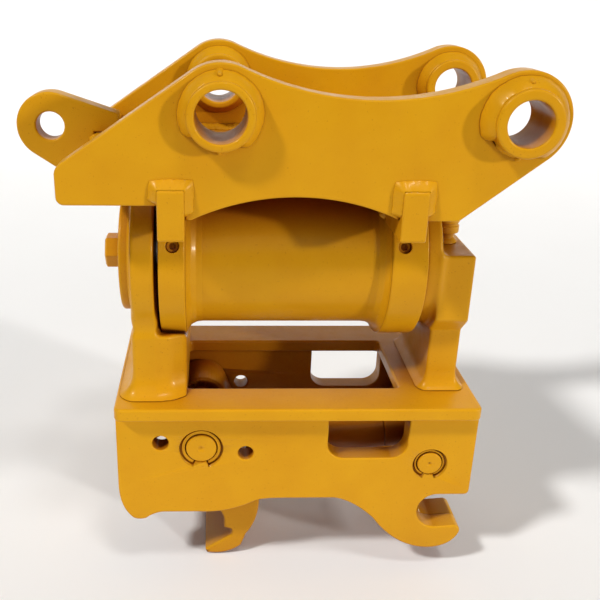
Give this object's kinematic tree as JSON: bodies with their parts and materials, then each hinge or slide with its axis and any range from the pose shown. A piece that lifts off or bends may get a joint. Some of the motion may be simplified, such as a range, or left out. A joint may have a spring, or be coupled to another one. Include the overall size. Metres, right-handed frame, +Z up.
{
  "type": "tilting quick coupler",
  "caption": "Hydraulic quick coupler for an excavator arm, with ear plates above, a rotary tilt actuator in the middle and a hook and a locking jaw below.",
  "frame": {"origin": "centre of the excavator's stick pin bores, midway between the two ears", "axes": "+X from the stick pin to the link pin, along the tilt axis; +Y across the width; +Z up, away from the hooks"},
  "size_m": [0.5617, 0.316, 0.6228],
  "materials": {
    "yellow_paint": "gloss enamel, lumpy over weld beads, slightly dusty",
    "bare_steel": "machined and lightly oiled",
    "chrome_rod": "hard chrome plate",
    "bronze": "turned bronze",
    "seal_rubber": "matt black"
  },
  "bodies": {
    "upper_frame": {"near_ear_plate": "yellow_paint", "far_ear_plate": "yellow_paint", "near_stick_boss": "yellow_paint", "far_stick_boss": "yellow_paint", "near_link_boss": "yellow_paint", "far_link_boss": "yellow_paint", "lifting_lug": "yellow_paint", "front_cross_plate": "yellow_paint", "top_cross_plate": "yellow_paint", "left_saddle_plate": "yellow_paint", "right_saddle_plate": "yellow_paint", "actuator_tube": "yellow_paint", "left_housing_flange": "yellow_paint", "right_housing_flange": "yellow_paint", "left_port_plug": "yellow_paint", "right_port_plug": "yellow_paint", "left_shaft_bearing": "bronze", "right_shaft_bearing": "bronze", "left_shaft_seal": "seal_rubber", "right_shaft_seal": "seal_rubber", "ring_gear": "bare_steel"},
    "piston_carrier": {"piston_seal": "seal_rubber"},
    "piston": {"piston_sleeve": "bare_steel"},
    "lower_frame": {"output_shaft": "bare_steel", "end_cap": "yellow_paint", "centre_bolt": "yellow_paint", "left_upright": "yellow_paint", "right_upright": "yellow_paint", "port_adapter": "yellow_paint", "base_plate": "yellow_paint", "near_side_plate": "yellow_paint", "far_side_plate": "yellow_paint", "near_hook_doubler": "yellow_paint", "far_hook_doubler": "yellow_paint", "front_brace": "yellow_paint", "rear_brace": "yellow_paint", "jaw_pin": "yellow_paint", "cylinder_pin": "yellow_paint", "near_jaw_pin_ring": "yellow_paint", "far_jaw_pin_ring": "yellow_paint", "near_cylinder_pin_ring": "yellow_paint", "far_cylinder_pin_ring": "yellow_paint"},
    "jaw": {"moving_jaw": "yellow_paint", "near_jaw_bush": "bronze", "far_jaw_bush": "bronze", "rod_pin": "bare_steel"},
    "jaw_cylinder": {"cylinder_end_eye": "yellow_paint", "cylinder_barrel": "yellow_paint", "cylinder_gland": "bare_steel"},
    "jaw_rod": {"cylinder_rod": "chrome_rod", "cylinder_piston": "bare_steel", "rod_eye": "bare_steel"}
  },
  "joints": [
    {"name": "tilt", "type": "hinge", "parent": "upper_frame", "child": "lower_frame", "pos_m": [0, 0, -0.185], "axis": [1, 0, 0], "range_deg": [-65, 65]},
    {"name": "piston_travel", "type": "slide", "parent": "upper_frame", "child": "piston_carrier", "axis": [1, 0, 0], "range_m": [-0.0285, 0.0285]},
    {"name": "piston_spin", "type": "hinge", "parent": "piston_carrier", "child": "piston", "pos_m": [0.09, 0, -0.185], "axis": [1, 0, 0], "range_deg": [-33, 33]},
    {"name": "jaw_pivot", "type": "hinge", "parent": "lower_frame", "child": "jaw", "pos_m": [-0.02, 0, -0.3984], "axis": [0, 1, 0], "range_deg": [-12, 16]},
    {"name": "cylinder_swing", "type": "hinge", "parent": "lower_frame", "child": "jaw_cylinder", "pos_m": [0.253, 0, -0.421], "axis": [0, 1, 0], "range_deg": [-1.5, 1.2]},
    {"name": "rod_slide", "type": "slide", "parent": "jaw_cylinder", "child": "jaw_rod", "axis": [-0.9945, 0, -0.1043], "range_m": [-0.0112, 0.0148]}
  ],
  "couplings": [
    {"joint": "piston_travel", "follows": "tilt", "m_per_rad": 0.0245},
    {"joint": "piston_spin", "follows": "tilt", "ratio": 0.5},
    {"joint": "cylinder_swing", "follows": "jaw_pivot", "ratio": -0.0794},
    {"joint": "rod_slide", "follows": "jaw_pivot", "m_per_rad": 0.05094}
  ]
}
